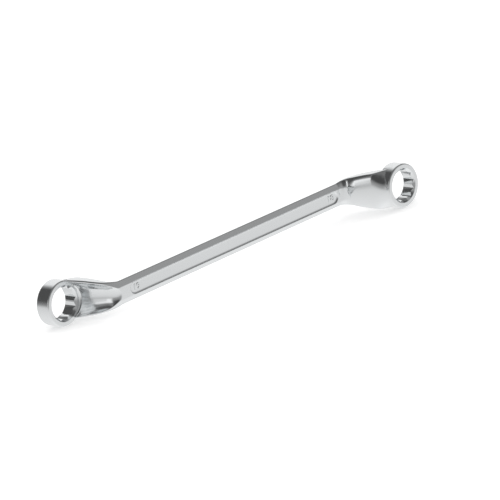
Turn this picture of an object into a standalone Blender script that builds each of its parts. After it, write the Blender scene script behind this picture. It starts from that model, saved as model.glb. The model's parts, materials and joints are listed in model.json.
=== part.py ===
"""Double-ended deep-offset ring wrench: one forging, with a twelve-point ring at each end.

The wrench lies on its side. X runs along the ring planes, Y along both bores and Z across the
shank. The origin is the middle of the shank. The large ring is at low X and high Y, the small
ring at high X and low Y, and half a turn about Z swaps one head's plan for the other's.
"""
import math

import bmesh
import bpy
from mathutils import Vector

# Plan of the wrench, between the centres of the two rings
RING_SPAN = 0.2180
RING_OFFSET = 0.0940
SHANK_TILT = math.radians(10.95)
NECK_ANGLE = math.radians(75.0)

# Rings
LARGE_OPENING = 0.0190
SMALL_OPENING = 0.0180
LARGE_RING_HEIGHT = 0.0104
SMALL_RING_HEIGHT = 0.0100
RING_WALL = 0.0035
RING_ROUNDING = 0.0008
LEAD_IN = 0.0006
POINTS = 12

# Neck, from the straight shank down to its foot on the ring's wall
NECK_FOOT = 0.0017
NECK_BEND_RADIUS = 0.0095
NECK_WIDTH_SHARE = 0.9
NECK_RIM = 0.0060
NECK_CROWN = 0.0050
NECK_EDGE = 0.0005
NECK_BLEND_LENGTH = 0.0150
FOOT_LENGTH = 0.0050
FOOT_WIDTH_SHARE = 0.72

# Trough down the inner side of each neck
TROUGH_WALL = 0.0028
TROUGH_END_LENGTH = 0.0095
TROUGH_END_LIFT = 0.0004

# Shank
LARGE_SHANK_WIDTH = 0.0154
SMALL_SHANK_WIDTH = 0.0146
SHANK_THICKNESS = 0.0058
SHANK_EDGE = 0.0020

# Recessed panel on each broad face of the shank
PANEL_LARGE_END = 0.0798
PANEL_SMALL_END = 0.0851
PANEL_HEIGHT = 0.0075
PANEL_WEB = 0.0032
PANEL_DRAFT = math.radians(24.0)

# Allowances for cutters that run past a surface, and how finely curves are divided
OVERRUN = 0.0020
WELD = 0.000005
RING_SEGMENTS = 72
BORE_SEGMENTS = 72
LEAD_STEPS = 3
TROUGH_SEGMENTS = 40
SECTION_STEPS = 14
BEND_STEPS = 12
NECK_STEPS = 7
ARC_STEPS = 10

STEEL_COLOUR = (0.62, 0.63, 0.64, 1.0)
STEEL_ROUGHNESS = 0.28


class Head:
    """Sizes of one ring and its neck, in the ring's own plane frame.

    x runs from the bore axis towards the neck, h runs up the bore axis from the ring's
    middle towards the side that the neck rises on, and z is the wrench's Z.
    """

    def __init__(self, side, opening, height, shank_width):
        self.side = side
        self.opening = opening
        self.height = height
        self.shank_width = shank_width
        self.corner_radius = opening / 2 / math.cos(math.pi / 6)
        self.crest_radius = opening / 2 / math.cos(math.pi / POINTS)
        self.ring_radius = self.corner_radius + RING_WALL

    def place(self, x, h, z):
        """Turn a point of the head's frame into the wrench's frame."""
        return Vector((self.side * (x - RING_SPAN / 2), self.side * (RING_OFFSET / 2 - h), z))

    def turn(self, x, h):
        """Turn a direction in the head's side view into the wrench's frame."""
        return Vector((self.side * x, -self.side * h, 0.0))

    def neck_path(self):
        """Centre line from the ring to the straight shank: x, h, angle, distance to the shank."""
        along = Vector((math.cos(NECK_ANGLE), math.sin(NECK_ANGLE)))
        inward = Vector((-along.y, along.x))
        foot = Vector((self.ring_radius, NECK_FOOT - self.height / 2))
        start = foot + NECK_CROWN * inward
        shank = Vector((math.cos(SHANK_TILT), math.sin(SHANK_TILT)))
        middle = Vector((RING_SPAN / 2, RING_OFFSET / 2))
        across = Vector((-shank.y, shank.x))
        corner = start + along * ((middle - start).dot(across) / along.dot(across))
        turn = NECK_ANGLE - SHANK_TILT
        tangent = NECK_BEND_RADIUS * math.tan(turn / 2)
        bend_length = NECK_BEND_RADIUS * turn
        bend_start = corner - along * tangent
        centre = bend_start - inward * NECK_BEND_RADIUS
        straight = (bend_start - start).length
        path = []
        for step in range(NECK_STEPS):
            share = (step / NECK_STEPS) ** 1.5
            point = start.lerp(bend_start, share)
            path.append((point, NECK_ANGLE, bend_length + straight * (1 - share)))
        for step in range(BEND_STEPS + 1):
            share = step / BEND_STEPS
            angle = NECK_ANGLE - turn * share
            point = centre + NECK_BEND_RADIUS * Vector((-math.sin(angle), math.cos(angle)))
            path.append((point, angle, bend_length * (1 - share)))
        return path


LARGE_HEAD = Head(1, LARGE_OPENING, LARGE_RING_HEIGHT, LARGE_SHANK_WIDTH)
SMALL_HEAD = Head(-1, SMALL_OPENING, SMALL_RING_HEIGHT, SMALL_SHANK_WIDTH)


def clear_scene():
    """Start from an empty scene."""
    for item in list(bpy.data.objects):
        bpy.data.objects.remove(item, do_unlink=True)


def smooth_step(share):
    """Ease from 0 to 1 with level ends."""
    share = min(max(share, 0.0), 1.0)
    return share * share * (3 - 2 * share)


def mix(first, second, share):
    """Value part of the way from the first to the second."""
    return first + (second - first) * share


def loft(name, sections):
    """Closed solid through a row of outlines that have the same number of points."""
    shape = bmesh.new()
    rings = [[shape.verts.new(point) for point in outline] for outline in sections]
    for lower, upper in zip(rings, rings[1:]):
        for index in range(len(lower)):
            after = (index + 1) % len(lower)
            shape.faces.new((lower[index], lower[after], upper[after], upper[index]))
    for ends in (rings[0], rings[-1]):
        middle = shape.verts.new(sum((vert.co for vert in ends), Vector()) / len(ends))
        for index in range(len(ends)):
            shape.faces.new((ends[index], ends[(index + 1) % len(ends)], middle))
    bmesh.ops.triangulate(shape, faces=shape.faces)
    bmesh.ops.recalc_face_normals(shape, faces=shape.faces)
    mesh = bpy.data.meshes.new(name)
    shape.to_mesh(mesh)
    shape.free()
    solid = bpy.data.objects.new(name, mesh)
    bpy.context.scene.collection.objects.link(solid)
    return solid


def circle(head, radius, h, segments):
    """Circle round the bore axis at one height."""
    steps = [2 * math.pi * index / segments for index in range(segments)]
    return [head.place(radius * math.cos(step), h, radius * math.sin(step)) for step in steps]


def ring(head):
    """Solid disc of the ring, with rounded edges, before its bore is cut."""
    outlines = []
    level = head.height / 2 - RING_ROUNDING
    core = head.ring_radius - RING_ROUNDING
    for side in (-1, 1):
        for step in range(4):
            angle = math.pi / 6 * (step if side > 0 else 3 - step)
            radius = core + RING_ROUNDING * math.cos(angle)
            height = side * (level + RING_ROUNDING * math.sin(angle))
            outlines.append(circle(head, radius, height, RING_SEGMENTS))
    return loft("ring_blank", outlines)


def flute_radius(head, angle):
    """Distance from the bore axis to the wall of the twelve-point bore in one direction."""
    turn = math.asin(math.sin(angle * POINTS / 2)) * 2 / POINTS
    half_flat = math.pi / 6 - abs(turn)
    return head.opening / 2 / math.cos(half_flat)


def bore(head):
    """Twelve-point bore that widens into a bevel at each mouth."""
    outlines = []
    mouth = head.corner_radius + LEAD_IN
    bevel = mouth - head.crest_radius
    inner = [bevel * step / LEAD_STEPS for step in range(LEAD_STEPS, -1, -1)]
    depths = [(1, depth) for depth in reversed(inner + [-OVERRUN])]
    depths += [(-1, depth) for depth in inner + [-OVERRUN]]
    for side, depth in depths:
        outline = []
        for index in range(BORE_SEGMENTS):
            angle = 2 * math.pi * index / BORE_SEGMENTS
            radius = max(flute_radius(head, angle), mouth - depth)
            spot = (radius * math.cos(angle), radius * math.sin(angle))
            outline.append(head.place(spot[0], side * (head.height / 2 - depth), spot[1]))
        outlines.append(outline)
    return loft("bore_cutter", outlines)


def section(origin, front, front_sizes, back_sizes):
    """Outline across the arm. Each side has a half width, an edge offset and a crown offset."""
    outline = []
    for direction, (half_width, edge, crown) in ((1, front_sizes), (-1, back_sizes)):
        for step in range(SECTION_STEPS + 1):
            angle = math.pi * step / SECTION_STEPS
            offset = direction * (edge + (crown - edge) * math.sin(angle))
            across = Vector((0.0, 0.0, direction * half_width * math.cos(angle)))
            outline.append(origin + front * offset + across)
    return outline


def flank_offset(head, distance):
    """Half of the arm's width at a distance down the neck from the straight shank."""
    length = head.neck_path()[0][2]
    share = math.sin(math.pi / 2 * min(distance / length, 1.0))
    return mix(head.shank_width / 2, head.ring_radius * NECK_WIDTH_SHARE, share)


def foot_share(head, distance):
    """How far the neck's flanks draw in where its foot meets the ring's wall."""
    rise = head.neck_path()[0][2] - distance
    sink = max(1 - rise / FOOT_LENGTH, 0.0)
    return math.sqrt(1 - sink * sink * (1 - FOOT_WIDTH_SHARE ** 2))


def head_sections(head):
    """Outlines of the arm from the ring to the straight shank."""
    outlines = []
    length = head.neck_path()[0][2]
    for point, angle, distance in head.neck_path():
        inner = head.turn(-math.sin(angle), math.cos(angle))
        share = smooth_step(distance / NECK_BLEND_LENGTH)
        edge = SHANK_EDGE / 2
        crown = SHANK_THICKNESS / 2
        rim = mix(edge, NECK_RIM, distance / length)
        width = flank_offset(head, distance) * foot_share(head, distance)
        inner_sizes = (width, rim, mix(crown, rim, share))
        under_edge = mix(edge, NECK_EDGE, share)
        under_sizes = (width, under_edge, mix(crown, NECK_CROWN, share))
        origin = head.place(point.x, point.y, 0.0)
        if head.side > 0:
            outlines.append(section(origin, inner, inner_sizes, under_sizes))
        else:
            outlines.append(section(origin, -inner, under_sizes, inner_sizes))
    return outlines


def arm():
    """Shank and both necks as one run of sections, from the large ring to the small one."""
    return loft("forged_wrench", head_sections(LARGE_HEAD) + head_sections(SMALL_HEAD)[::-1])


def trough(head):
    """Rounded trough that runs up the neck from the ring's face and out over the shank."""
    outlines = []
    path = head.neck_path()
    start, angle, distance = path[0]
    below = start - OVERRUN * Vector((math.cos(angle), math.sin(angle)))
    for point, angle, distance in [(below, angle, distance)] + path:
        share = math.sin(math.pi / 2 * min(distance / TROUGH_END_LENGTH, 1.0))
        inward = Vector((-math.sin(angle), math.cos(angle)))
        exit_level = SHANK_THICKNESS / 2 + TROUGH_END_LIFT
        floor_offset = mix(exit_level, TROUGH_WALL - NECK_CROWN, share)
        radius = flank_offset(head, distance)
        centre = point + inward * (floor_offset + radius)
        outline = []
        for index in range(TROUGH_SEGMENTS):
            turn = 2 * math.pi * index / TROUGH_SEGMENTS
            spot = centre + inward * (radius * math.cos(turn))
            outline.append(head.place(spot.x, spot.y, radius * math.sin(turn)))
        outlines.append(outline)
    return loft("trough_cutter", outlines)


def panel(side):
    """Long recess with round ends on one broad face of the shank."""
    along = Vector((math.cos(SHANK_TILT), -math.sin(SHANK_TILT), 0.0)) * side
    outward = Vector((-math.sin(SHANK_TILT), -math.cos(SHANK_TILT), 0.0)) * side
    outlines = []
    for level in (PANEL_WEB / 2, SHANK_THICKNESS / 2 + OVERRUN):
        radius = PANEL_HEIGHT / 2 + (level - PANEL_WEB / 2) * math.tan(PANEL_DRAFT)
        outline = []
        for reach, start in ((PANEL_SMALL_END, -math.pi / 2), (-PANEL_LARGE_END, math.pi / 2)):
            centre = reach - math.copysign(PANEL_HEIGHT / 2, reach)
            for step in range(ARC_STEPS + 1):
                angle = start + math.pi * step / ARC_STEPS
                run = along * (centre + radius * math.cos(angle))
                rise = Vector((0.0, 0.0, radius * math.sin(angle)))
                outline.append(run + outward * level + rise)
        outlines.append(outline)
    return loft("panel_cutter", outlines)


def combine(body, tool, operation):
    """Join a solid to the body or cut it away, and drop the tool."""
    change = body.modifiers.new(operation.lower(), "BOOLEAN")
    change.operation = operation
    change.object = tool
    evaluated = body.evaluated_get(bpy.context.evaluated_depsgraph_get())
    shape = bmesh.new()
    shape.from_mesh(evaluated.to_mesh())
    bmesh.ops.remove_doubles(shape, verts=shape.verts, dist=WELD)
    bmesh.ops.dissolve_degenerate(shape, edges=shape.edges, dist=WELD)
    body.modifiers.remove(change)
    shape.to_mesh(body.data)
    shape.free()
    bpy.data.objects.remove(tool, do_unlink=True)


def chromed_steel():
    """Satin chrome plating on the forged steel."""
    material = bpy.data.materials.new("satin_chrome")
    material.use_nodes = True
    shader = material.node_tree.nodes["Principled BSDF"]
    shader.inputs["Base Color"].default_value = STEEL_COLOUR
    shader.inputs["Metallic"].default_value = 1.0
    shader.inputs["Roughness"].default_value = STEEL_ROUGHNESS
    return material


def forged_wrench():
    """The whole wrench: arm, troughs, panels, rings and bores."""
    body = arm()
    for head in (LARGE_HEAD, SMALL_HEAD):
        combine(body, trough(head), "DIFFERENCE")
    for side in (1, -1):
        combine(body, panel(side), "DIFFERENCE")
    for head in (LARGE_HEAD, SMALL_HEAD):
        combine(body, ring(head), "UNION")
        combine(body, bore(head), "DIFFERENCE")
    body.name = "forged_wrench"
    body.data.materials.clear()
    body.data.materials.append(chromed_steel())
    body.data.shade_smooth()
    body.data.set_sharp_from_angle(angle=math.radians(25))
    return body


clear_scene()
forged_wrench()
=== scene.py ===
"""Looks of the double-ended deep-offset ring wrench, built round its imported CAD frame.

Shapes are worked out in millimetres and scaled to metres once, when their mesh is finished.
X runs along the ring planes, Y along both bores and Z across the shank, as in the frame.
"""

import json
import math

import bmesh
import bpy
from mathutils import Matrix, Vector
from mathutils.bvhtree import BVHTree

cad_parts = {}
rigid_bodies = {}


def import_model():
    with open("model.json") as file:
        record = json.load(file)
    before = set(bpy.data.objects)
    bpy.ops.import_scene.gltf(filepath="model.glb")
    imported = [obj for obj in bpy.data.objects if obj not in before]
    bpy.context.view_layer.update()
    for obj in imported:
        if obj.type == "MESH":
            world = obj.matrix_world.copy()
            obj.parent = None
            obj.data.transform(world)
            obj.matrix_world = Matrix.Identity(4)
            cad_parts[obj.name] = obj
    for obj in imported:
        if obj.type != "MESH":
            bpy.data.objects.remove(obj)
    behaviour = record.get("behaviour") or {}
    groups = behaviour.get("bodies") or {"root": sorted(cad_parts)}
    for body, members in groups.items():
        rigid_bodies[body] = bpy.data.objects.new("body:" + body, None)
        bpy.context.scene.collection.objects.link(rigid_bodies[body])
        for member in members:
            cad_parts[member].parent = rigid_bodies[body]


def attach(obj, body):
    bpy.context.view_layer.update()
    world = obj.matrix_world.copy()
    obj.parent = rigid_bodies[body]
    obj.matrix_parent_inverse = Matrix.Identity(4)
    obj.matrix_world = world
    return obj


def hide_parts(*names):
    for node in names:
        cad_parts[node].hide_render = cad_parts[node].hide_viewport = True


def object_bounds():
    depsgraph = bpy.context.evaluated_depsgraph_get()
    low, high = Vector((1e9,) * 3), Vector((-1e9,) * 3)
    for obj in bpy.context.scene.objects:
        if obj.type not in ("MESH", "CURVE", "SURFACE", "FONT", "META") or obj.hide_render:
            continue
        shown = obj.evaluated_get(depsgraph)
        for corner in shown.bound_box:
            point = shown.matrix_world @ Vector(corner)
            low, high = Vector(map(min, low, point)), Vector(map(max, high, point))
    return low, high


for item in list(bpy.data.objects):
    bpy.data.objects.remove(item, do_unlink=True)

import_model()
cad_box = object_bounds()

MM = 0.001

# Plan of the wrench, between the centres of the two rings
RING_SPAN = 218.0
RING_OFFSET = 94.0
SHANK_TILT = math.radians(10.95)
NECK_ANGLE = math.radians(75.0)

# Rings
LARGE_OPENING = 19.0
SMALL_OPENING = 18.0
LARGE_RING_HEIGHT = 10.4
SMALL_RING_HEIGHT = 10.0
RING_WALL = 3.5
RING_EDGE_RADIUS = 0.8
MOUTH_BEVEL = 0.6
STOCK_SHARE = 1.05
CONE_SHARE = 0.5
PLUG_CLEARANCE = 0.02

# Neck
NECK_FOOT = 1.7
NECK_BEND_RADIUS = 9.5
NECK_WIDTH_SHARE = 0.9
NECK_RIM = 6.0
BEND_RIM = 2.0
NECK_CROWN = 5.0
NECK_EDGE = 0.5
NECK_CORNER = 0.8
NECK_BLEND_LENGTH = 15.0
FOOT_LENGTH = 11.0
FOOT_INSET = 0.1
FOOT_SIDE_INSET = 1.2

# Trough down the inner side of each neck
TROUGH_WALL = 2.8
TROUGH_END_LIFT = 0.4
TROUGH_FOOT_RADIUS = 1.6
LIP_RADIUS = 0.35

# Shank
LARGE_SHANK_WIDTH = 15.4
SMALL_SHANK_WIDTH = 14.6
SHANK_CREST = 2.5
SHANK_CORNER = 0.9
EDGE_LIFT = 0.06
CREST_HALF_WIDTH = 4.3
CREST_RADIUS = 0.3

# Recessed panel on each broad face
PANEL_INNER_END = 79.8
PANEL_UNDER_END = 85.1
PANEL_HEIGHT = 7.5
PANEL_WEB = 3.2
PANEL_DRAFT = math.radians(24.0)
PANEL_EDGE_RADIUS = 0.3

# Size digits on the panels
DIGIT_HEIGHT = 5.4
DIGIT_RAISE = 0.3
DIGIT_EDGE = 0.14
DIGIT_INSET = 5.0
DIGIT_WELD = 0.0005

# Fillet where a neck leaves its ring, and the room left inside the CAD's box
FILLET_REACH = 2.2
ACROSS_SHARE = 0.5
BOX_INSET = 0.001

# Fineness of the meshes: counts of steps, and their lengths along the forging
RING_STEPS = 216
EDGE_STEPS = 8
PROFILE_STEP = 0.4
FINE_REACH = 0.5
FINE_STEPS = 5
INNER_STEPS = 14
OUTER_STEPS = 7
CORNER_STEPS = 6
NECK_STEP = 0.4
FINE_STEP = 0.22
SHANK_STEP = 2.0
SMOOTH_ANGLE = math.radians(40.0)

# Chrome plate: its colour, its blur, the grain of the polish and the waves of the forging
PLATE_COLOUR = "#E8EAEB"
PLATE_ROUGHNESS = 0.14
GRAIN_SIZE = 0.35
GRAIN_DEPTH = 0.002
GRAIN_DETAIL = 2.0
GRAIN_ROUGHNESS = 0.6
WAVE_SIZE = 9.0
WAVE_DEPTH = 0.03
WAVE_DETAIL = 1.0
WAVE_ROUGHNESS = 0.4

# Photograph: the camera's turn round the wrench, its roll, and where it sees the shank's middle
VIEW_AZIMUTH = math.radians(-44.7)
VIEW_ELEVATION = math.radians(19.5)
VIEW_ROLL = math.radians(11.75)
VIEW_DISTANCE = 6000.0
PHOTO_SIDE = 500
PIXELS_PER_MM = 1.61
MIDDLE_AT_X = 229.3
MIDDLE_AT_Y = 243.4
SENSOR_WIDTH = 36.0
CLIP_SHARE = 10

# Floor, and how much of its own light the camera sees in it
FLOOR_COLOUR = "#FFFFFF"
FLOOR_SIDE = 8000.0
FLOOR_GLOW = 0.2

# Brightness that the metal mirrors from below: share of the way up from the foot, level
FLOOR_STOPS = (
    (0.0, 1.05),
    (0.167, 0.93),
    (0.25, 0.88),
    (0.333, 0.84),
    (0.389, 0.8),
    (0.444, 0.75),
    (0.472, 0.71),
    (0.5, 0.66),
)

# Brightness from above, and the degrees over which it meets the floor's at the horizon
ROOM_LEVEL = 0.35
HORIZON_SOFTNESS = 6.0

# Darker and lighter parts of the room, in degrees: azimuth, half width, base, top, softness; level
ROOM_CARDS = (
    ((0.0, 180.0, 58.0, 95.0, 8.0), 0.18),
    ((-5.0, 32.0, 24.0, 62.0, 6.0), 0.1),
    ((46.0, 26.0, -12.0, 46.0, 9.0), 0.95),
    ((115.0, 32.0, 9.0, 62.0, 12.0), 0.075),
    ((-170.0, 32.0, 18.0, 70.0, 13.0), 0.06),
    ((-112.0, 40.0, 38.0, 62.0, 6.0), 0.1),
    ((158.0, 10.0, -6.0, 12.0, 4.0), 0.62),
    ((157.0, 7.0, 6.0, 31.0, 5.0), 1.05),
    ((-114.0, 36.0, -8.0, 28.0, 14.0), 0.34),
)


def smooth_step(share):
    """Ease from 0 to 1 with level ends."""
    share = min(max(share, 0.0), 1.0)
    return share * share * (3 - 2 * share)


def mix(first, second, share):
    """Value part of the way from the first to the second."""
    return first + (second - first) * share


def soft_min(first, second, radius):
    """The smaller value, with the corner between the two rounded by a parabola."""
    overlap = max(radius - abs(first - second), 0.0)
    return min(first, second) - overlap * overlap / radius / 4


class Head:
    """Sizes of one ring and its neck, in the ring's own plane frame.

    x runs from the bore axis towards the neck, h runs up the bore axis from the ring's
    middle towards the side that the neck rises on, and z is the wrench's Z.
    """

    def __init__(self, side, opening, height, shank_width):
        self.side = side
        self.opening = opening
        self.height = height
        self.shank_width = shank_width
        self.corner_radius = opening / 2 / math.cos(math.pi / 6)
        self.ring_radius = self.corner_radius + RING_WALL
        self.centre = Vector((-side * RING_SPAN / 2, side * RING_OFFSET / 2, 0.0))
        self.neck_along = Vector((math.cos(NECK_ANGLE), math.sin(NECK_ANGLE)))
        neck_across = Vector((-self.neck_along.y, self.neck_along.x))
        self.shank_along = Vector((math.cos(SHANK_TILT), math.sin(SHANK_TILT)))
        shank_across = Vector((-self.shank_along.y, self.shank_along.x))
        start = Vector((self.ring_radius, NECK_FOOT - height / 2)) + NECK_CROWN * neck_across
        middle = Vector((RING_SPAN / 2, RING_OFFSET / 2))
        reach = (middle - start).dot(shank_across) / self.neck_along.dot(shank_across)
        turn = NECK_ANGLE - SHANK_TILT
        self.bend_length = NECK_BEND_RADIUS * turn
        self.bend_start = start + self.neck_along * (reach - NECK_BEND_RADIUS * math.tan(turn / 2))
        self.bend_centre = self.bend_start - NECK_BEND_RADIUS * neck_across
        self.shank_start = self.bend_centre + NECK_BEND_RADIUS * shank_across
        self.length = self.bend_length + (self.bend_start - start).length
        self.half_shank = (middle - self.shank_start).dot(self.shank_along)

    def place(self, x, h, z):
        """Turn a point of the head's frame into the wrench's frame."""
        return Vector((self.side * (x - RING_SPAN / 2), self.side * (RING_OFFSET / 2 - h), z))

    def station(self, distance):
        """Centre line point and its inward direction at a distance up the neck."""
        if distance <= 0:
            point = self.shank_start - self.shank_along * distance
            angle = SHANK_TILT
        elif distance < self.bend_length:
            angle = SHANK_TILT + distance / NECK_BEND_RADIUS
            across = Vector((-math.sin(angle), math.cos(angle)))
            point = self.bend_centre + NECK_BEND_RADIUS * across
        else:
            point = self.bend_start - self.neck_along * (distance - self.bend_length)
            angle = NECK_ANGLE
        return point, Vector((-math.sin(angle), math.cos(angle)))

    def half_width(self, distance):
        """Half of the forging's width."""
        taper = (self.half_shank + min(distance, 0.0)) / self.half_shank
        mean_width = (LARGE_SHANK_WIDTH + SMALL_SHANK_WIDTH) / 2
        shank = mix(mean_width, self.shank_width, taper) / 2
        share = math.sin(math.pi / 2 * min(max(distance / self.length, 0.0), 1.0))
        return mix(shank, self.ring_radius * NECK_WIDTH_SHARE, share)


LARGE_HEAD = Head(1, LARGE_OPENING, LARGE_RING_HEIGHT, LARGE_SHANK_WIDTH)
SMALL_HEAD = Head(-1, SMALL_OPENING, SMALL_RING_HEIGHT, SMALL_SHANK_WIDTH)
HEADS = (LARGE_HEAD, SMALL_HEAD)


def panel_level(reach, z, end):
    """Height of a panel's floor and sloping wall over the centre line."""
    radius = PANEL_HEIGHT / 2
    beyond = math.hypot(max(reach - end + radius, 0.0), z) - radius
    rise = (beyond + math.hypot(beyond, PANEL_EDGE_RADIUS)) / 2
    return PANEL_WEB / 2 + rise / math.tan(PANEL_DRAFT)


def shank_level(z, half_width):
    """Height of the shank's broad face: a level crest, a facet and a rounded edge."""
    centre = half_width - SHANK_CORNER
    fall = SHANK_CREST - EDGE_LIFT
    reach = math.hypot(centre - CREST_HALF_WIDTH, fall)
    tilt = math.atan2(fall, centre - CREST_HALF_WIDTH) - math.asin(SHANK_CORNER / reach)
    if abs(z) < centre + SHANK_CORNER * math.sin(tilt):
        facet = SHANK_CREST - (abs(z) - CREST_HALF_WIDTH) * math.tan(tilt)
        return soft_min(SHANK_CREST, facet, CREST_RADIUS)
    along = min(abs(z) - centre, SHANK_CORNER)
    return EDGE_LIFT + math.sqrt(SHANK_CORNER * SHANK_CORNER - along * along)


def round_drop(z, rim_at, radius):
    """Depth that a rounded edge takes off a face beyond its rim."""
    beyond = min(max(abs(z) - rim_at, 0.0), radius)
    return radius - math.sqrt(radius * radius - beyond * beyond)


def trough_floor(head, distance):
    """Height of the trough's lowest line over the centre line."""
    share = math.sin(math.pi / 2 * min(distance / head.bend_length, 1.0))
    return mix(SHANK_CREST + TROUGH_END_LIFT, TROUGH_WALL - NECK_CROWN, share)


def foot_fillet(head, distance, level):
    """Height that the fillet on the ring's face adds to the trough's floor or side."""
    rise = head.length - distance - (head.height - NECK_FOOT) / math.sin(NECK_ANGLE)
    rise += (NECK_CROWN + level) / math.tan(NECK_ANGLE)
    touch = TROUGH_FOOT_RADIUS / math.tan((math.pi - NECK_ANGLE) / 2)
    reach = min(max(touch - rise, 0.0), touch * (1 + math.cos(NECK_ANGLE)))
    return TROUGH_FOOT_RADIUS - math.sqrt(TROUGH_FOOT_RADIUS ** 2 - reach * reach)


def inner_level(head, distance, z, half_width):
    """Height of the face on the trough's side."""
    share = smooth_step(distance / NECK_BLEND_LENGTH)
    rim = mix(BEND_RIM, NECK_RIM, max(distance / head.length, 0.0))
    rim -= round_drop(z, half_width - NECK_CORNER, NECK_CORNER)
    level = mix(shank_level(z, half_width), rim, share)
    if distance > 0:
        radius = head.half_width(distance)
        drop = math.sqrt(max(radius * radius - z * z, 0.0))
        trough = trough_floor(head, distance) + radius - drop
        trough += foot_fillet(head, distance, trough)
        level = soft_min(level, trough, LIP_RADIUS)
    reach = head.half_shank + distance
    return soft_min(level, panel_level(reach, z, PANEL_INNER_END), PANEL_EDGE_RADIUS)


def under_level(head, distance, z, half_width):
    """Depth of the face on the crowned side."""
    share = smooth_step(distance / NECK_BLEND_LENGTH)
    fullness = math.sqrt(max(1 - (z / half_width) ** 2, 0.0))
    crown = mix(NECK_EDGE, NECK_CROWN, fullness)
    foot = smooth_step(1 - (head.length - distance) / FOOT_LENGTH)
    if foot > 0:
        retreat = head.ring_radius - math.sqrt(head.ring_radius ** 2 - z * z)
        inset = mix(FOOT_INSET, FOOT_SIDE_INSET, smooth_step(2 * abs(z) / half_width - 1))
        wall = NECK_CROWN - retreat / math.sin(NECK_ANGLE) - inset
        crown = mix(crown, wall, foot)
    level = mix(shank_level(z, half_width), crown, share)
    reach = head.half_shank + distance
    return soft_min(level, panel_level(reach, z, PANEL_UNDER_END), PANEL_EDGE_RADIUS)


def across_lines(head, distance, half_width):
    """Places across one face, closer together at the trough's lip and the panel's edge."""
    radius = head.half_width(distance)
    guide = CREST_HALF_WIDTH - PANEL_EDGE_RADIUS
    share = smooth_step(distance / NECK_BLEND_LENGTH)
    if distance > 0:
        rim = mix(BEND_RIM, NECK_RIM, distance / head.length)
        depth = mix(SHANK_CREST, rim, share) - trough_floor(head, distance)
        if depth > 0:
            guide = max(guide, math.sqrt(max(radius ** 2 - (radius - depth) ** 2, 0.0)))
    corner = mix(SHANK_CORNER, NECK_CORNER, share)
    rim_at = half_width - corner
    guide = min(guide, rim_at - 2 * FINE_REACH)
    inner = [(guide - FINE_REACH) * step / INNER_STEPS for step in range(INNER_STEPS)]
    fine = [guide + FINE_REACH * (step / FINE_STEPS - 1) for step in range(2 * FINE_STEPS)]
    start = guide + FINE_REACH
    outer = [mix(start, rim_at, step / OUTER_STEPS) for step in range(OUTER_STEPS)]
    turns = [math.pi / 2 * step / CORNER_STEPS for step in range(CORNER_STEPS + 1)]
    edge = [rim_at + corner * math.sin(turn) for turn in turns]
    half = inner + fine + outer + edge
    return [-place for place in reversed(half[1:])] + half


def section(head, distance):
    """Closed outline across the forging, as points in the wrench's frame."""
    point, inward = head.station(distance)
    half_width = head.half_width(distance)
    inner_face = []
    under_face = []
    for z in across_lines(head, distance, half_width):
        inner_face.append((z, inner_level(head, distance, z, half_width)))
        under_face.append((z, -under_level(head, distance, z, half_width)))
    points = []
    for z, level in inner_face + under_face[::-1]:
        spot = point + inward * level
        points.append(head.place(spot.x, spot.y, z))
    return points


def station_distances(head):
    """Where the sections stand, from the ring's foot to the middle of the shank."""
    stops = (
        (head.length, head.bend_length, NECK_STEP),
        (head.bend_length, PANEL_UNDER_END - PANEL_HEIGHT - head.half_shank, FINE_STEP),
    )
    distances = []
    for start, end, step in stops:
        count = math.ceil((start - end) / step)
        distances += [mix(start, end, index / count) for index in range(count)]
    start = stops[-1][1]
    inner_end = PANEL_INNER_END - PANEL_HEIGHT - head.half_shank
    count = math.ceil((start - inner_end) / FINE_STEP)
    distances += [mix(start, inner_end, index / count) for index in range(count)]
    count = math.ceil((inner_end + head.half_shank) / SHANK_STEP)
    distances += [mix(inner_end, -head.half_shank, index / count) for index in range(count)]
    return distances


def mesh_object(name, points, faces):
    """Object from points and faces, with its normals turned outwards."""
    shape = bmesh.new()
    verts = [shape.verts.new(point) for point in points]
    for face in faces:
        shape.faces.new([verts[index] for index in face])
    bmesh.ops.recalc_face_normals(shape, faces=shape.faces)
    mesh = bpy.data.meshes.new(name)
    shape.to_mesh(mesh)
    shape.free()
    made = bpy.data.objects.new(name, mesh)
    bpy.context.scene.collection.objects.link(made)
    return made


def arm():
    """Shank and both necks as one skin over a row of sections."""
    rows = [section(LARGE_HEAD, distance) for distance in station_distances(LARGE_HEAD)]
    rows.append(section(LARGE_HEAD, -LARGE_HEAD.half_shank))
    turned = [section(SMALL_HEAD, distance) for distance in station_distances(SMALL_HEAD)]
    rows += [row[::-1] for row in reversed(turned)]
    width = len(rows[0])
    points = [point for row in rows for point in row]
    faces = []
    for row in range(len(rows) - 1):
        for index in range(width):
            after = (index + 1) % width
            low = row * width
            high = low + width
            faces.append((low + index, low + after, high + after, high + index))
    for low in (0, (len(rows) - 1) * width):
        high = low + width - 1
        for index in range(width // 2 - 1):
            faces.append((low + index, low + index + 1, high - index - 1, high - index))
    return mesh_object("wrench_forging", points, faces)


def combine(body, tool, operation):
    """Join a solid to the body or cut it away, and drop the tool."""
    change = body.modifiers.new(operation.lower(), "BOOLEAN")
    change.operation = operation
    change.object = tool
    evaluated = body.evaluated_get(bpy.context.evaluated_depsgraph_get())
    mesh = bpy.data.meshes.new_from_object(evaluated)
    body.modifiers.remove(change)
    body.data = mesh
    bpy.data.objects.remove(tool, do_unlink=True)


def node(tree, kind, inputs=None, **settings):
    """Add a node, set its settings, and set or link its inputs."""
    made = tree.nodes.new(kind)
    for name, value in settings.items():
        setattr(made, name, value)
    for key, value in (inputs or {}).items():
        if isinstance(value, bpy.types.NodeSocket):
            tree.links.new(value, made.inputs[key])
        else:
            made.inputs[key].default_value = value
    return made


def math_of(tree, operation, first, second=0.0):
    """Result of one sum, product or other operation."""
    return node(tree, "ShaderNodeMath", {0: first, 1: second}, operation=operation).outputs[0]


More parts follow.
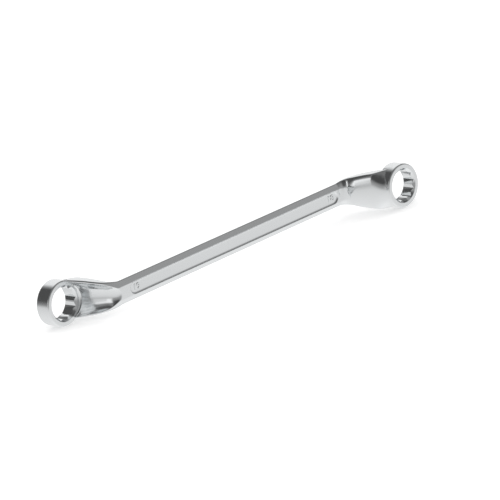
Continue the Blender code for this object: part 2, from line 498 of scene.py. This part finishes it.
def ring_blank(tree, sizes):
    """Turned blank of a ring: a rounded rectangle swept round the bore, and its wall."""
    outer, height = sizes["Outer Radius"], sizes["Height"]
    stock = math_of(tree, "MULTIPLY", sizes["Opening"], STOCK_SHARE / 2)
    wall = math_of(tree, "SUBTRACT", outer, stock)
    middle = math_of(tree, "DIVIDE", math_of(tree, "ADD", outer, stock), 2.0)
    path = node(tree, "GeometryNodeCurvePrimitiveCircle", {"Resolution": RING_STEPS, "Radius": middle})
    outline = node(
        tree, "GeometryNodeCurvePrimitiveQuadrilateral", {"Width": wall, "Height": height}
    )
    rounded = node(
        tree,
        "GeometryNodeFilletCurve",
        {"Curve": outline.outputs[0], "Radius": sizes["Edge Radius"], "Count": EDGE_STEPS},
        mode="POLY",
    )
    profile = node(
        tree,
        "GeometryNodeResampleCurve",
        {"Curve": rounded.outputs[0], "Length": PROFILE_STEP},
        mode="LENGTH",
    )
    blank = node(
        tree,
        "GeometryNodeCurveToMesh",
        {"Curve": path.outputs[0], "Profile Curve": profile.outputs[0]},
    )
    return blank.outputs[0], wall


def mouth_cone(tree, sizes, corner, wall):
    """Cone that bevels the bore's mouth, in its place at the ring's upper face."""
    mouth = math_of(tree, "ADD", corner, sizes["Mouth Bevel"])
    reach = math_of(tree, "MULTIPLY", wall, CONE_SHARE)
    cone = node(
        tree,
        "GeometryNodeMeshCone",
        {
            "Vertices": RING_STEPS,
            "Radius Top": math_of(tree, "ADD", mouth, reach),
            "Radius Bottom": math_of(tree, "SUBTRACT", mouth, reach),
            "Depth": math_of(tree, "MULTIPLY", reach, 2.0),
        },
    )
    half_height = math_of(tree, "DIVIDE", sizes["Height"], 2.0)
    lift = node(
        tree,
        "ShaderNodeCombineXYZ",
        {"Z": math_of(tree, "SUBTRACT", half_height, reach)},
    )
    return node(
        tree,
        "GeometryNodeTransform",
        {"Geometry": cone.outputs[0], "Translation": lift.outputs[0]},
    ).outputs[0]


def turned_pair(tree, shape, axis, turn):
    """A cutter and its copy, turned about one axis."""
    pair = node(tree, "GeometryNodePoints", {"Count": 2})
    index = node(tree, "GeometryNodeInputIndex").outputs[0]
    angle = node(tree, "ShaderNodeCombineXYZ", {axis: math_of(tree, "MULTIPLY", index, turn)})
    turned = node(tree, "FunctionNodeEulerToRotation", {0: angle.outputs[0]})
    return node(
        tree,
        "GeometryNodeInstanceOnPoints",
        {"Points": pair.outputs[0], "Instance": shape, "Rotation": turned.outputs[0]},
    ).outputs[0]


def ring_tree(material):
    """Geometry Nodes tree of a ring: a swept blank, broached by two hexagons and bevelled."""
    tree = bpy.data.node_groups.new("broached_ring", "GeometryNodeTree")
    for name in ("Opening", "Outer Radius", "Height", "Edge Radius", "Mouth Bevel"):
        tree.interface.new_socket(name, in_out="INPUT", socket_type="NodeSocketFloat")
    tree.interface.new_socket("Geometry", in_out="OUTPUT", socket_type="NodeSocketGeometry")
    sizes = node(tree, "NodeGroupInput").outputs
    blank, wall = ring_blank(tree, sizes)
    corner = math_of(tree, "DIVIDE", sizes["Opening"], 2 * math.cos(math.pi / 6))
    hexagon = node(
        tree,
        "GeometryNodeMeshCylinder",
        {
            "Vertices": 6,
            "Radius": corner,
            "Depth": math_of(tree, "MULTIPLY", sizes["Height"], 2.0),
        },
    ).outputs[0]
    cone = mouth_cone(tree, sizes, corner, wall)
    broached = node(
        tree,
        "GeometryNodeMeshBoolean",
        {"Mesh 1": blank},
        operation="DIFFERENCE",
        solver="EXACT",
    )
    for cutter, axis, turn in ((hexagon, "Z", math.pi / 6), (cone, "X", math.pi)):
        tree.links.new(turned_pair(tree, cutter, axis, turn), broached.inputs["Mesh 2"])
    real = node(tree, "GeometryNodeRealizeInstances", {"Geometry": broached.outputs[0]})
    finished = node(
        tree, "GeometryNodeSetMaterial", {"Geometry": real.outputs[0], "Material": material}
    )
    node(tree, "NodeGroupOutput", {"Geometry": finished.outputs[0]})
    return tree


def ring(tree, head):
    """One broached ring as a plain mesh object, in its place."""
    made = mesh_object("ring", [], [])
    made.matrix_world = Matrix.Translation(head.centre) @ Matrix.Rotation(math.pi / 2, 4, "X")
    shaper = made.modifiers.new("ring", "NODES")
    shaper.node_group = tree
    sizes = {
        "Opening": head.opening,
        "Outer Radius": head.ring_radius,
        "Height": head.height,
        "Edge Radius": RING_EDGE_RADIUS,
        "Mouth Bevel": MOUTH_BEVEL,
    }
    for socket in tree.interface.items_tree:
        if socket.name in sizes:
            shaper[socket.identifier] = sizes[socket.name]
    evaluated = made.evaluated_get(bpy.context.evaluated_depsgraph_get())
    mesh = bpy.data.meshes.new_from_object(evaluated)
    made.modifiers.remove(shaper)
    made.data = mesh
    mesh.transform(made.matrix_world)
    made.matrix_world = Matrix.Identity(4)
    return made


def plug(head):
    """Plain cylinder that clears the neck's foot out of the bore."""
    radius = head.corner_radius + MOUTH_BEVEL + PLUG_CLEARANCE
    points = []
    for level in (-head.height, head.height):
        for step in range(RING_STEPS):
            angle = 2 * math.pi * step / RING_STEPS
            points.append(head.place(radius * math.cos(angle), level, radius * math.sin(angle)))
    faces = [tuple(range(RING_STEPS)), tuple(range(RING_STEPS, 2 * RING_STEPS))]
    for step in range(RING_STEPS):
        after = (step + 1) % RING_STEPS
        faces.append((step, after, after + RING_STEPS, step + RING_STEPS))
    return mesh_object("plug", points, faces)


def surface_of(item):
    """Search tree over an object's faces."""
    shape = bmesh.new()
    shape.from_mesh(item.data)
    tree = BVHTree.FromBMesh(shape)
    shape.free()
    return tree


def swell(item, other, reach):
    """Raise the surface next to another piece, so that a fillet forms where they join.

    The rise fades out where the two surfaces already run alike, and on faces that look up or
    down the bores, because only the walls of neck and ring meet in a fillet.
    """
    mesh = item.data
    normals = [vert.normal.copy() for vert in mesh.vertices]
    for vert, normal in zip(mesh.vertices, normals):
        spot, facing, _face, distance = other.find_nearest(vert.co, reach)
        if spot is None or abs(vert.co.y - spot.y) > reach * ACROSS_SHARE:
            continue
        if (vert.co - spot).dot(facing) > 0:
            corner = 1 - max(normal.dot(facing), 0.0)
            corner *= (1 - abs(normal.y)) * (1 - abs(facing.y))
            vert.co += normal * (corner * (reach - distance) ** 2 / reach / 4)


def forging(tree):
    """The whole wrench as one mesh, in millimetres, held inside the CAD's box."""
    body = arm()
    rings = [ring(tree, head) for head in HEADS]
    arm_surface = surface_of(body)
    ring_surfaces = [surface_of(item) for item in rings]
    for surface in ring_surfaces:
        swell(body, surface, FILLET_REACH)
    for item in rings:
        swell(item, arm_surface, FILLET_REACH)
    for head, item in zip(HEADS, rings):
        combine(body, plug(head), "DIFFERENCE")
        combine(body, item, "UNION")
    low, high = [corner / MM for corner in cad_box]
    for vert in body.data.vertices:
        for axis in range(3):
            limits = (low[axis] + BOX_INSET, high[axis] - BOX_INSET)
            vert.co[axis] = min(max(vert.co[axis], limits[0]), limits[1])
    return body


def colour(code):
    """Linear colour of an sRGB hex value."""
    channels = [int(code[start:start + 2], 16) / 255 for start in (1, 3, 5)]
    linear = [c / 12.92 if c <= 0.04045 else ((c + 0.055) / 1.055) ** 2.4 for c in channels]
    return (*linear, 1.0)


def material_tree(name):
    """New material, its node tree and its shader."""
    material = bpy.data.materials.new(name)
    material.use_nodes = True
    tree = material.node_tree
    return material, tree, tree.nodes["Principled BSDF"]


def satin_chrome():
    """Decorative chrome plate over a forging that was ground and buffed.

    It mirrors the room with a slight blur, which the eye takes for satin. The buffing leaves a
    grain, which is drawn coarser than the real one so that it shows, and the forging itself
    leaves slow waves that bend the reflections.
    """
    material, tree, shader = material_tree("satin_chrome_plate")
    place = node(tree, "ShaderNodeTexCoord").outputs["Object"]
    grain = node(
        tree,
        "ShaderNodeTexNoise",
        {
            "Vector": place,
            "Scale": 1 / (GRAIN_SIZE * MM),
            "Detail": GRAIN_DETAIL,
            "Roughness": GRAIN_ROUGHNESS,
        },
    )
    wave = node(
        tree,
        "ShaderNodeTexNoise",
        {
            "Vector": place,
            "Scale": 1 / (WAVE_SIZE * MM),
            "Detail": WAVE_DETAIL,
            "Roughness": WAVE_ROUGHNESS,
        },
    )
    shader.inputs["Metallic"].default_value = 1.0
    shader.inputs["Base Color"].default_value = colour(PLATE_COLOUR)
    shader.inputs["Roughness"].default_value = PLATE_ROUGHNESS
    rise = math_of(
        tree,
        "ADD",
        math_of(tree, "MULTIPLY", grain.outputs["Fac"], GRAIN_DEPTH * MM),
        math_of(tree, "MULTIPLY", wave.outputs["Fac"], WAVE_DEPTH * MM),
    )
    bump = node(tree, "ShaderNodeBump", {"Height": rise, "Distance": 1.0, "Strength": 1.0})
    tree.links.new(bump.outputs["Normal"], shader.inputs["Normal"])
    return material


def digits(text, face, end):
    """Mesh of the raised size digits near one end of a panel."""
    curve = bpy.data.curves.new("digits", "FONT")
    curve.body = text
    curve.size = DIGIT_HEIGHT
    curve.extrude = DIGIT_RAISE
    curve.bevel_depth = DIGIT_EDGE
    curve.align_x = "CENTER"
    curve.align_y = "CENTER"
    made = bpy.data.objects.new("digits", curve)
    bpy.context.scene.collection.objects.link(made)
    evaluated = made.evaluated_get(bpy.context.evaluated_depsgraph_get())
    mesh = bpy.data.meshes.new_from_object(evaluated)
    bpy.data.objects.remove(made, do_unlink=True)
    along = Vector((math.cos(SHANK_TILT), -math.sin(SHANK_TILT), 0.0)) * face
    outward = Vector((-math.sin(SHANK_TILT), -math.cos(SHANK_TILT), 0.0)) * face
    turn = Matrix((along, Vector((0.0, 0.0, 1.0)), outward)).transposed().to_4x4()
    turn.translation = along * end + outward * (PANEL_WEB / 2)
    mesh.transform(turn)
    return mesh


def size_digits():
    """Plain opening sizes at both ends of both panels."""
    shape = bmesh.new()
    sizes = [str(round(head.opening)) for head in HEADS]
    for face in (1, -1):
        left, right = sizes[::face]
        shape.from_mesh(digits(left, face, DIGIT_INSET - PANEL_INNER_END))
        shape.from_mesh(digits(right, face, PANEL_UNDER_END - DIGIT_INSET))
    bmesh.ops.remove_doubles(shape, verts=shape.verts, dist=DIGIT_WELD)
    bmesh.ops.recalc_face_normals(shape, faces=shape.faces)
    mesh = bpy.data.meshes.new("size_digits")
    shape.to_mesh(mesh)
    shape.free()
    made = bpy.data.objects.new("size_digits", mesh)
    bpy.context.scene.collection.objects.link(made)
    return made


def finish_piece(item, material):
    """Scale a piece to metres, dress it and hang it on the frame."""
    item.data.transform(Matrix.Scale(MM, 4))
    item.data.materials.clear()
    item.data.materials.append(material)
    for face in item.data.polygons:
        face.material_index = 0
    item.data.shade_smooth()
    item.data.set_sharp_from_angle(angle=SMOOTH_ANGLE)
    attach(item, "root")
    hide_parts("forged_wrench")


def camera():
    """Camera of the photograph, turned by its roll and aimed without any lens shift."""
    level_right = Vector((math.cos(VIEW_AZIMUTH), math.sin(VIEW_AZIMUTH), 0.0))
    back = Vector((
        math.sin(VIEW_AZIMUTH) * math.cos(VIEW_ELEVATION),
        -math.cos(VIEW_AZIMUTH) * math.cos(VIEW_ELEVATION),
        math.sin(VIEW_ELEVATION),
    ))
    level_up = back.cross(level_right)
    right = math.cos(VIEW_ROLL) * level_right - math.sin(VIEW_ROLL) * level_up
    up = math.sin(VIEW_ROLL) * level_right + math.cos(VIEW_ROLL) * level_up
    aim = right * ((PHOTO_SIDE / 2 - MIDDLE_AT_X) / PIXELS_PER_MM)
    aim += up * ((MIDDLE_AT_Y - PHOTO_SIDE / 2) / PIXELS_PER_MM)
    lens = bpy.data.cameras.new("photo_camera")
    lens.sensor_width = SENSOR_WIDTH
    lens.lens = SENSOR_WIDTH * VIEW_DISTANCE / (PHOTO_SIDE / PIXELS_PER_MM)
    lens.clip_end = CLIP_SHARE * VIEW_DISTANCE * MM
    item = bpy.data.objects.new("photo_camera", lens)
    bpy.context.scene.collection.objects.link(item)
    pose = Matrix((right, up, back)).transposed().to_4x4()
    pose.translation = (aim + back * VIEW_DISTANCE) * MM
    item.matrix_world = pose
    bpy.context.scene.camera = item


def card(tree, before, azimuth, elevation, place, level):
    """Lay one soft-edged part of the room over what is there already."""
    middle, half_width, base, top, softness = place
    turned = math_of(tree, "SUBTRACT", azimuth, middle)
    wrapped = node(
        tree, "ShaderNodeMath", {0: turned, 1: 180.0, 2: -180.0}, operation="WRAP"
    ).outputs[0]
    aside = math_of(tree, "ABSOLUTE", wrapped)
    above = math_of(tree, "ABSOLUTE", math_of(tree, "SUBTRACT", elevation, (base + top) / 2))
    mask = None
    for offset, half in ((aside, half_width), (above, (top - base) / 2)):
        share = node(
            tree,
            "ShaderNodeMapRange",
            {
                "Value": offset,
                "From Min": half - softness,
                "From Max": half + softness,
                "To Min": 1.0,
                "To Max": 0.0,
            },
            interpolation_type="SMOOTHSTEP",
        ).outputs[0]
        mask = share if mask is None else math_of(tree, "MULTIPLY", mask, share)
    return node(
        tree,
        "ShaderNodeMix",
        {"Factor": mask, "A": before, "B": level},
        data_type="FLOAT",
    ).outputs[0]


def mirrored_room(tree):
    """Brightness of the room in each direction, as the metal mirrors it."""
    direction = node(tree, "ShaderNodeTexCoord").outputs["Generated"]
    parts = node(tree, "ShaderNodeSeparateXYZ", {0: direction}).outputs
    azimuth = math_of(tree, "DEGREES", math_of(tree, "ARCTAN2", parts["Y"], parts["X"]))
    elevation = math_of(tree, "DEGREES", math_of(tree, "ARCSINE", parts["Z"]))
    share = math_of(tree, "DIVIDE", math_of(tree, "ADD", elevation, 90.0), 180.0)
    floor_level = node(tree, "ShaderNodeFloatCurve", {"Value": share})
    curve = floor_level.mapping.curves[0]
    curve.points[0].location = FLOOR_STOPS[0]
    curve.points[1].location = (1.0, FLOOR_STOPS[-1][1])
    for stop in FLOOR_STOPS[1:]:
        curve.points.new(*stop)
    floor_level.mapping.use_clip = False
    floor_level.mapping.update()
    over_horizon = node(
        tree,
        "ShaderNodeMapRange",
        {"Value": elevation, "From Min": -HORIZON_SOFTNESS, "From Max": HORIZON_SOFTNESS},
        interpolation_type="SMOOTHSTEP",
    ).outputs[0]
    room = node(
        tree,
        "ShaderNodeMix",
        {"Factor": over_horizon, "A": floor_level.outputs[0], "B": ROOM_LEVEL},
        data_type="FLOAT",
    ).outputs[0]
    for place, brightness in ROOM_CARDS:
        room = card(tree, room, azimuth, elevation, place, brightness)
    return room


def studio_world():
    """Plain white world, in which only the metal's reflections see the room."""
    world = bpy.data.worlds.new("studio")
    bpy.context.scene.world = world
    world.use_nodes = True
    tree = world.node_tree
    room = mirrored_room(tree)
    glossy = node(tree, "ShaderNodeLightPath").outputs["Is Glossy Ray"]
    seen = node(
        tree, "ShaderNodeMix", {"Factor": glossy, "A": 1.0, "B": room}, data_type="FLOAT"
    ).outputs[0]
    tree.links.new(seen, tree.nodes["Background"].inputs["Color"])


def white_paper():
    """Matt white paper of a photographer's sweep.

    It gives the eye a plain ground that takes a faint shadow, and the metal looks through it
    into the room.
    """
    material, tree, shader = material_tree("white_paper_sweep")
    shader.inputs["Base Color"].default_value = colour(FLOOR_COLOUR)
    shader.inputs["Roughness"].default_value = 1.0
    shader.inputs["Specular IOR Level"].default_value = 0.0
    shader.inputs["Emission Color"].default_value = colour(FLOOR_COLOUR)
    path = node(tree, "ShaderNodeLightPath").outputs
    glow = math_of(tree, "MULTIPLY", path["Is Camera Ray"], FLOOR_GLOW)
    tree.links.new(glow, shader.inputs["Emission Strength"])
    clear = node(tree, "ShaderNodeBsdfTransparent")
    mixed = node(
        tree,
        "ShaderNodeMixShader",
        {0: path["Is Glossy Ray"], 1: shader.outputs[0], 2: clear.outputs[0]},
    )
    tree.links.new(mixed.outputs[0], tree.nodes["Material Output"].inputs["Surface"])
    return material


def paper_floor():
    """Sheet that the wrench lies on."""
    level = cad_box[0].z
    half = FLOOR_SIDE * MM / 2
    corners = [(-half, -half, level), (half, -half, level), (half, half, level), (-half, half, level)]
    mesh = bpy.data.meshes.new("floor")
    mesh.from_pydata(corners, [], [(0, 1, 2, 3)])
    mesh.materials.append(white_paper())
    floor = bpy.data.objects.new("floor", mesh)
    bpy.context.scene.collection.objects.link(floor)


plate = satin_chrome()
finish_piece(forging(ring_tree(plate)), plate)
finish_piece(size_digits(), plate)
camera()
studio_world()
paper_floor()
bpy.context.scene.view_settings.view_transform = "Standard"
